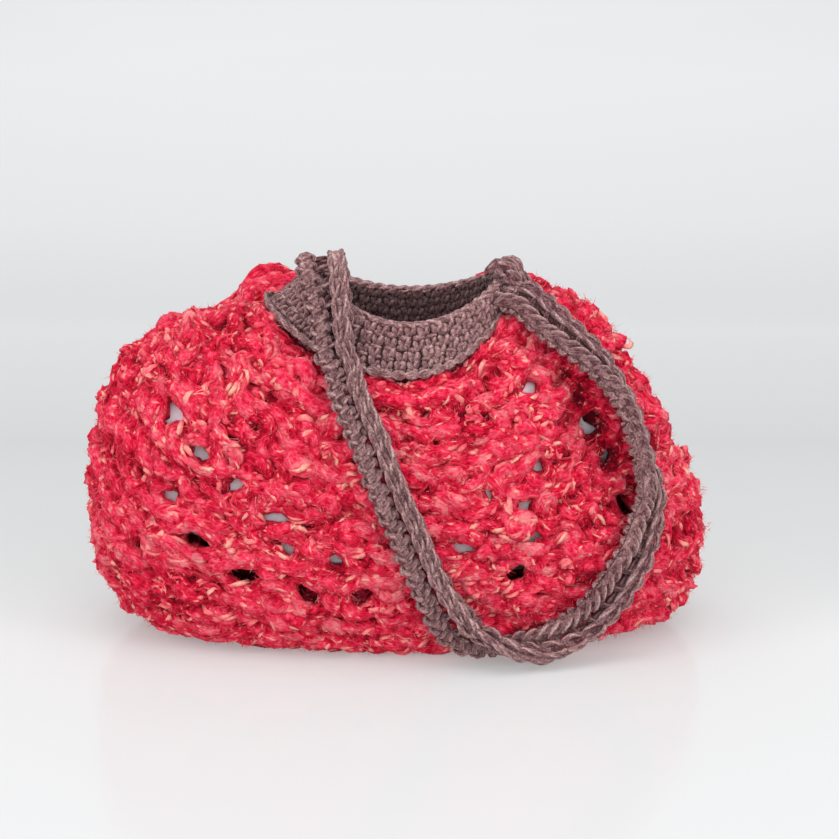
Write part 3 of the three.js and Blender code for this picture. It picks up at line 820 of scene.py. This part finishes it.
def makeLining(material):
    c = lining
    rings = np.linspace(seamRing + 0.1, lastRing - 0.2, c["rows"])[:, None]
    turns = (np.arange(c["columns"]) / c["columns"] * 2 * math.pi)[None]
    many, few = c["foldWaves"]
    folds = c["fold"] * (1 + np.sin(turns * many + 1.0) * np.sin(turns * few))
    clear = c["clear"] * np.exp(-((rings - seamRing - 0.8) / 0.9) ** 2)
    points, normal = skin(rings, turns, -c["under"] - clear - folds)
    low = np.clip((rings - c["lowRing"]) / 0.9, 0, 1)[..., None]
    low = low * low * (3 - 2 * low)
    crease = np.exp(-((np.degrees(turns) - c["creaseTurn"]) / c["creaseWide"]) ** 2)
    crease = crease * np.clip((rings - c["creaseTop"]) / 0.8, 0, 1)
    low = np.maximum(low, crease[..., None])
    middle = points.reshape(-1, 3).mean(0)
    points[..., :2] += (middle[:2] - points[..., :2]) * c["drawIn"] * low
    points[..., 2:] += c["drawUp"] * low
    inner = points - unit(normal * (1 - low) + low * unit(points - middle)) * c["thickness"]
    cloth = bmesh.new()
    layers = [[[cloth.verts.new(point) for point in row] for row in layer] for layer in (points, inner)]
    ends = [cloth.verts.new(layer[-1].mean(0)) for layer in (points, inner)]
    last = c["rows"] - 1
    for k in range(c["columns"]):
        n = (k + 1) % c["columns"]
        outside, inside = layers
        for r in range(last):
            cloth.faces.new((outside[r][k], outside[r + 1][k], outside[r + 1][n], outside[r][n]))
            cloth.faces.new((inside[r][n], inside[r + 1][n], inside[r + 1][k], inside[r][k]))
        cloth.faces.new((outside[last][k], ends[0], outside[last][n]))
        cloth.faces.new((inside[last][n], ends[1], inside[last][k]))
        cloth.faces.new((outside[0][n], inside[0][n], inside[0][k], outside[0][k]))
    area = sum(face.calc_area() for face in cloth.faces) / 2
    piece = addPiece("lining_cloth", meshOf("lining_cloth", cloth), material)
    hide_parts("lining")
    print("lining area", round(area, 4))


collar = {
    "rounds": 5,
    "stitch": 0.0070,
    "radius": 0.0017,
    "sides": 6,
    "wall": 0.005,
    "bulge": 0.0012,
    "coreRows": 9,          # a thin band fills its middle, so that no light comes between the stitches
    "coreColumns": 120,
    "coreThickness": 0.0012,
    "seed": 21,
}
# One stitch is two legs of a V and the bar over them, in shares of its own width and height:
# from and to across, from and to down, and how far it stands out
stitchStrands = [
    (-0.10, -0.34, 0.58, -0.28, 1.0),
    (0.10, 0.34, 0.58, -0.28, 1.0),
    (-0.46, 0.46, -0.38, -0.44, 0.5),
]
# Chains along the rim and the seam: ring, how far out, thickness, wave out and up, as one chain has it
rimChains = [
    (0.0, -collar["wall"] / 2, 0.0017, 0.0018, 0.0),
    (1.04, 0.0018, 0.0012, 0.0, 0.0010),
]
chain = {"step": 0.0012, "twist": 0.021, "strands": 3, "ripple": 0.0008}


def makeCollar(material, shadedInnerMaterial):
    c = collar
    rng = np.random.default_rng(c["seed"])
    t = np.linspace(0, 1, 6)
    # the inside and the core band take the darkened copy of the brown yarn: painted shade
    for name, finish in (("collar_outside", material), ("collar_inside", shadedInnerMaterial)):
        inner = name == "collar_inside"
        yarn = YarnMesh(c["sides"])
        for row in range(c["rounds"]):
            spacing = seamRing / (c["rounds"] - 0.4)
            girth, turnAt = ringArc(min((row + 0.5) * spacing, 1.0))
            stitches = int(girth / c["stitch"])
            place = np.arange(stitches) + 0.5 * (row % 2) + rng.normal(0, 0.06, stitches)
            for left, right, low, high, stand in stitchStrands:
                atTurn = turnAt((place[:, None] + left + (right - left) * t[None]) / stitches)
                atRing = (row + 0.5 + low + (high - low) * t[None]) * spacing
                atRing = atRing + rng.normal(0, 0.02, (stitches, 1))
                bow = c["bulge"] * stand * np.sin(t * math.pi)[None] - c["radius"]
                out = -c["wall"] - bow if inner else bow
                path, normal = skin(np.clip(atRing, 0.0, 1.06), atTurn, out)
                guide = -normal if inner else normal
                radius = c["radius"] * rng.uniform(0.9, 1.15, (stitches, 1)) * np.ones(len(t))
                tone = rng.uniform(0.2, 0.8, (stitches, 1)) * np.ones(len(t))
                yarn.add(path, radius, guide, tone, 1)
        if not inner:
            addRimChains(yarn)
        piece = yarn.build(name, finish)
        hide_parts("collar")
    makeCollarCore(shadedInnerMaterial)


def makeCollarCore(material):
    c = collar
    rings = np.linspace(0.04, 1.0, c["coreRows"])
    turns = np.arange(c["coreColumns"]) / c["coreColumns"] * 2 * math.pi
    points, _ = skin(rings[:, None], turns[None], (c["coreThickness"] - c["wall"]) / 2)
    band = bmesh.new()
    grid = [[band.verts.new(point) for point in row] for row in points]
    for upper, lower in zip(grid, grid[1:]):
        for k in range(c["coreColumns"]):
            n = (k + 1) % c["coreColumns"]
            band.faces.new((upper[k], lower[k], lower[n], upper[n]))
    bmesh.ops.recalc_face_normals(band, faces=band.faces[:])
    bmesh.ops.solidify(band, geom=band.faces[:], thickness=c["coreThickness"])
    piece = addPiece("collar_core", meshOf("collar_core", band), material)
    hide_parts("collar")


def addRimChains(yarn):
    for ring, out, radius, waveOut, waveUp in rimChains:
        girth, turnAt = ringArc(ring)
        share = np.arange(int(girth / chain["step"]) + 1) / int(girth / chain["step"])
        for number in range(chain["strands"]):
            phase = 2 * math.pi * (share * round(girth / chain["twist"]) + number / chain["strands"])
            path, normal = skin(np.full(len(share), ring), turnAt(share), out + waveOut * np.sin(phase))
            path[:, 2] += chain["ripple"] * np.sin(2 * phase) + waveUp * np.sin(phase)
            guide = normal if ring else np.array([0, 0, 1.0])
            yarn.add(path, radius, guide, np.full((1, len(share)), 0.55 + 0.1 * number))


# The strap's route, repeated from the part but for its left end: turn, ring,
# off and rise as shares of its thickness, faceUp, lean, spread
strapRoute = np.array([
    (195, 0, -1.15, -0.9, 2, 0, 0.9), (197, 0, -1.3, 0.15, 4, 0, 1.1), (202, 0, -0.95, 1, 4, 0, 1.25),
    (208, 0, -0.2, 1.45, 3, 0, 1.35), (216, 0, 0.6, 1.15, 1.5, 0, 1.4),
    (226, 0.15, 0.95, 0.4, 0.2, 0, 1.25), (236, 0.6, 0.85, 0, 0, 0, 1),
    (251, 2, 0.75, 0, 0, 0, 0.9), (262, 3.3, 0.68, 0, 0, 0, 0.9), (268, 4.6, 0.68, 0, 0, 0, 0.9),
    (271, 6, 0.68, 0, 0, 0, 0.9), (274, 7.8, 0.68, 0, 0, 0, 0.9), (276, 8.9, 0.75, 0, 0, -6, 1.1),
    (279, 9.9, 0.95, 0, 0, -20, 1.3), (284, 10.4, 1.1, 0, 0, -50, 1.3), (290, 10.5, 1.18, 0, 0, -90, 1),
    (294, 10.4, 1.12, 0, 0, -125, 0.9), (299, 10, 0.95, 0, 0, -155, 0.9), (303, 9.5, 0.85, 0, 0, -172, 1),
    (310, 8.7, 0.75, 0, 0, -180, 1), (317, 8.2, 0.85, 0, 0, -186, 1), (325, 7.6, 1.1, 0, 0, -202, 0.95),
    (328, 7, 1.2, 0, 0, -215, 0.9), (330, 6.3, 1.22, 0, 0, -220, 0.9), (332, 5.5, 1.15, 0, 0, -218, 0.9),
    (332, 4.7, 1.05, 0, 0, -208, 0.95), (331, 3.9, 0.9, 0, 0, -196, 1), (331, 3.1, 0.82, 0, 0, -186, 1),
    (333, 2.4, 0.8, 0, 0, -180, 1), (340, 1.6, 1, 0, 0.2, -180, 1), (346, 0.9, 1, 0.05, 0.4, -180, 1.05),
    (350, 0.3, 0.75, 0.35, 1.2, -180, 1.1), (353, 0, 0.1, 0.62, 3, -180, 1.1),
    (355, 0, -0.7, 0.58, 4, -180, 1.05), (356, 0, -1.1, 0.1, 4, -180, 1),
], float)

strap = {
    "thickness": 0.009,
    "spacing": 0.012,       # between the middles of the two ribs
    "step": 0.0015,
    "closing": 0.009,       # how long the ribs taper at both ends
    "bend": 0.036,          # how far the bend over the rim reaches
    "packed": 0.35,         # how much fuller the ribs are there, and how much closer their stitches
    "gathered": 0.25,
    "slack": 0.6,           # the stitches widen where the ribs lie apart
    "clear": 0.0016,        # between a rib's core and the floor
    "sides": 6,
    "seed": 31,
}
# Strands of one stitch of each rib, in millimetres but for along, a share of the pitch:
# across at its start, end and bow, along from and to, lift at its ends and middle, radius
knobStitch = {
    "pitch": 0.0070,
    "jitter": 0.09,
    "core": 0.0038,
    "strands": [
        (-4.3, -0.4, 0.0, 0.00, 0.40, 1.4, 4.3, 1.5),
        (4.1, 0.2, 0.0, 0.20, 0.62, 1.4, 4.4, 1.5),
        (-2.6, 2.0, 0.0, 0.52, 0.80, 2.8, 4.7, 1.35),
        (-3.5, -4.0, -0.6, -0.35, 0.35, 0.6, 2.2, 1.35),
        (3.5, 4.0, 0.6, -0.15, 0.50, 0.6, 2.2, 1.35),
        (-3.8, 3.6, 0.0, -0.60, 0.90, -0.8, -4.0, 1.5),
    ],
}
linkStitch = {
    "pitch": 0.0110,
    "jitter": 0.05,
    "core": 0.0032,
    "strands": [
        (1.6, 0.5, 2.1, -0.45, 1.10, 1.6, 3.7, 1.45),
        (-1.6, -0.5, -2.1, -0.45, 1.10, 1.6, 3.7, 1.45),
        (2.6, 1.2, 1.6, -0.10, 1.25, 0.6, 1.8, 1.35),
        (-2.6, -1.2, -1.6, -0.10, 1.25, 0.6, 1.8, 1.35),
        (-0.7, 0.6, 0.3, 0.25, 1.10, 1.8, 3.7, 1.2),
        (1.2, 0.8, 2.4, 0.10, 1.45, -0.8, -3.2, 1.5),
        (-1.2, -0.8, -2.4, 0.10, 1.45, -0.8, -3.2, 1.5),
    ],
}
rung = {"pitch": 0.0105, "slant": 0.0022, "radius": 0.0013, "sunk": -0.0006, "arch": 0.0012, "reach": 0.75}


def strapCentre(place):
    row = readTable(strapRoute, place)
    turn, ring, off, rise, faceUp, lean, spread = np.moveaxis(row, -1, 0)
    point, normal = skin(ring, np.radians(turn), off * strap["thickness"])
    point[..., 2] += rise * strap["thickness"]
    normal[..., 2] += faceUp
    return point, normal, np.radians(lean), spread


# Even steps along the strap: centre, forward, side, face and half the ribs' spacing, and its length
def strapFrames():
    fine = np.linspace(0, len(strapRoute) - 1, 3000)
    length = arcLengths(strapCentre(fine)[0])
    count = int(length[-1] / strap["step"])
    place = np.interp(np.linspace(0, length[-1], count + 1), length, fine)
    centre, face, lean, spread = strapCentre(place)
    forward = unit(np.gradient(centre, axis=0))
    flat = unit(np.cross(forward, face))
    out = np.cross(flat, forward)
    side = flat * np.cos(lean)[:, None] + out * np.sin(lean)[:, None]
    half = spread[:, None] * strap["spacing"] / 2
    return centre, forward, side, np.cross(side, forward), half, length[-1]


def addRib(yarn, frames, middle, stitch, rng):  # a column of crochet stitches round a core
    side, face, travel, wide = frames
    count = len(travel)

    def inBend(place):
        return np.clip(1.6 - place / strap["bend"], 0, 1)

    def toEnd(place, least):
        return np.clip(np.minimum(place, travel[-1] - place) / strap["closing"], least, 1)

    tone = smoothNoise(rng, count, 25) * 0.3 + 0.3
    core = stitch["core"] * (1 + strap["packed"] * inBend(travel)) * np.sqrt(toEnd(travel, 0.05))
    yarn.add(middle, core * (1 + 0.05 * smoothNoise(rng, count, 6)), face, tone[None])
    pitch = stitch["pitch"]
    start = np.arange(0.5, int(travel[-1] / pitch) - 1) * pitch
    t = np.linspace(0, 1, 8)
    arch = np.sin(t * math.pi)

    def at(values, place):
        return np.stack([np.interp(place, travel, values[:, axis]) for axis in range(3)], -1)

    for first, last, bow, low, high, ends, top, radius in stitch["strands"]:
        jitter = rng.normal(0, stitch["jitter"], (len(start), 1))
        place = np.clip(start[:, None] + (low + (high - low) * t + jitter) * pitch, 0, travel[-1])
        across = (first + (last - first) * t + bow * arch + rng.normal(0, 0.16, (len(start), 1))) / 1000
        lift = (ends + (top - ends) * arch * rng.uniform(0.9, 1.08, (len(start), 1))) / 1000
        across = across * np.interp(place, travel, wide)
        out = at(face, place)
        shut = toEnd(place, 0.15) * (1 - strap["gathered"] * inBend(place))
        stand = at(side, place) * across[..., None] + out * lift[..., None]
        path = at(middle, place) + stand * shut[..., None]
        thick = radius / 1000 * rng.uniform(0.88, 1.12, (len(start), 1)) * (0.8 + 0.25 * arch)
        path[..., 2] = np.maximum(path[..., 2], thick)
        guide = unit(out * np.sign(top) + at(side, place) * (across / 0.004)[..., None])
        tone = rng.uniform(0.3, 0.8, (len(start), 1)) * np.ones(len(t))
        yarn.add(path, thick, guide, tone, 1)


def makeStrap(material):
    s = strap
    rng = np.random.default_rng(s["seed"])
    centre, forward, side, face, half, length = strapFrames()
    print("strap length", round(length, 3))
    travel = np.linspace(0, length, len(centre))
    wide = 1 + s["slack"] * np.maximum(half[:, 0] / s["spacing"] * 2 - 1, 0)
    yarn = YarnMesh(s["sides"])
    for sign, stitch in ((1, knobStitch), (-1, linkStitch)):
        middle = centre + sign * side * half
        middle[:, 2] = np.maximum(middle[:, 2], stitch["core"] + s["clear"])
        addRib(yarn, (side, face, travel, wide), middle, stitch, rng)
    # rungs hold the two ribs together
    at = np.arange(1, int(length / rung["pitch"])) * rung["pitch"] / length * (len(centre) - 1)
    at = at.astype(int)
    t = np.linspace(-1, 1, 7)
    for turn in (-1, 1):
        slant = (t * turn * rung["slant"])[None, :, None]
        lift = (rung["sunk"] + rung["arch"] * np.cos(t * math.pi / 2) * turn)[None, :, None]
        across = t[None, :, None] * half[at][:, None] * rung["reach"]
        path = centre[at][:, None] + side[at][:, None] * across
        path = path + forward[at][:, None] * slant + face[at][:, None] * lift
        path[..., 2] = np.maximum(path[..., 2], rung["radius"])
        guide = face[at][:, None] * np.ones((1, len(t), 1))
        yarn.add(path, rung["radius"], guide, np.full((len(at), len(t)), 0.3))
    piece = yarn.build("strap_yarn", material)
    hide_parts("shoulder_strap")


# Floor and backdrop in one curved sheet
studio = {
    "back": 1.4,
    "curve": 0.5,
    "curveSteps": 12,
    "wide": 4.0,
    "front": -3.0,
    "high": 2.5,
    # metres along the floor and then up the wall, and the grey painted there: painted light, shade and
    # reflection falling off across floor and wall
    "paintedLightGreys": [(-0.02, 0.47), (0.09, 0.40), (0.43, 0.31), (0.45, 0.32),
              (0.86, 0.40), (1.25, 0.51), (1.55, 0.54), (1.7, 0.51)],
    "gloss": 0.14,
    # the sheet glows though it is no lamp: painted light that lifts the shadows on the floor
    "glow": 0.27,
    "glowTint": (0.97, 1.0, 1.0, 1),
}


def makeStudio():
    s = studio
    sheet = bmesh.new()
    steps = [(s["front"], 0.0)]
    for i in range(s["curveSteps"] + 1):
        angle = i / s["curveSteps"] * math.pi / 2
        steps.append((s["back"] - s["curve"] * (1 - math.sin(angle)), s["curve"] * (1 - math.cos(angle))))
    steps.append((s["back"], s["high"]))
    rows = [[sheet.verts.new((x, y, z)) for x in (-s["wide"], s["wide"])] for y, z in steps]
    for near, far in zip(rows, rows[1:]):
        sheet.faces.new((near[0], near[1], far[1], far[0]))
    shader = Shader("studioWhite")
    _, back, up = shader.split(shader.place())
    first, last = s["paintedLightGreys"][0][0], s["paintedLightGreys"][-1][0]
    along = (back + up - first) / (last - first)
    # painted light, shade and reflection along the sheet, as greys
    tint = shader.ramp(along, [((at - first) / (last - first), (grey,) * 3) for at, grey in s["paintedLightGreys"]])
    surface = shader.finish(tint, s["gloss"], 0.0, (1, 1, 1), 0.10)
    # painted light: a glow that brightens the sheet and its shadows
    shader.surface.inputs["Emission Color"].default_value = s["glowTint"]
    shader.surface.inputs["Emission Strength"].default_value = s["glow"]
    mesh = meshOf("studio_sheet", sheet)
    mesh.shade_smooth()
    mesh.materials.append(surface)
    floor = addThing("studio_sheet", mesh)


# Softboxes: place, where they aim, width and height, watts
softboxes = {
    "topSoftbox": ((-0.1, -0.25, 1.5), (0, 0, 0.05), (1.5, 1.2), 9.5),
    "leftSoftbox": ((-1.4, -0.9, 0.8), (0, 0, 0.1), (0.9, 1.2), 9),
    "rightSoftbox": ((1.4, -0.9, 0.8), (0, 0, 0.1), (0.9, 1.2), 10),
    "frontSoftbox": ((0.1, -2.0, 0.75), (0, 0, 0.08), (1.8, 1.2), 16),
}
roomLight = {"tint": (0.95, 0.97, 1.0, 1), "strength": 0.62}


def makeLights():
    for name, (place, aim, size, power) in softboxes.items():
        data = bpy.data.lights.new(name, "AREA")
        data.shape = "RECTANGLE"
        data.size, data.size_y = size
        data.energy = power
        light = addThing(name, data)
        light.location = place
        light.rotation_euler = (Vector(aim) - Vector(place)).to_track_quat("-Z", "Y").to_euler()
    world = bpy.data.worlds.new("studioWorld")
    world.use_nodes = True
    sky = world.node_tree.nodes["Background"]
    sky.inputs["Color"].default_value = roomLight["tint"]
    sky.inputs["Strength"].default_value = roomLight["strength"]
    bpy.context.scene.world = world


view = {
    "lens": 85,
    "sensor": 36,
    "distance": 1.0896,
    "elevation": 13,
    "aim": (0.014, 0.0, 0.114),   # before the skin's shift
}


def makeCamera():
    data = bpy.data.cameras.new("photoCamera")
    data.lens = view["lens"]
    data.sensor_width = view["sensor"]
    data.clip_end = 50
    camera = addThing("photoCamera", data)
    aim = Vector(view["aim"]) + Vector(skinShift)
    tilt = math.radians(view["elevation"])
    camera.location = aim + view["distance"] * Vector((0, -math.cos(tilt), math.sin(tilt)))
    camera.rotation_euler = (math.pi / 2 - tilt, 0, 0)
    bpy.context.scene.camera = camera
    bpy.context.scene.view_settings.view_transform = "Standard"


def main():
    makeCamera()
    makeLights()
    makeStudio()
    print("studio ready")
    paths = makeRedYarn(redYarnMaterial())
    makePlies(paths, plyMaterial())
    makeFuzz(paths, fuzzMaterial())
    makeBacking(backingMaterial())
    print("body ready")
    makeLining(clothMaterial())
    # the collar's inside is the brown yarn darkened to 0.44: painted shade for the inside of the mouth
    makeCollar(brownYarnMaterial("brownYarn"), brownYarnMaterial("brownYarnShadedInside", 0.44))
    makeStrap(brownYarnMaterial("strapYarn"))
    print("collar, lining and strap ready")


main()
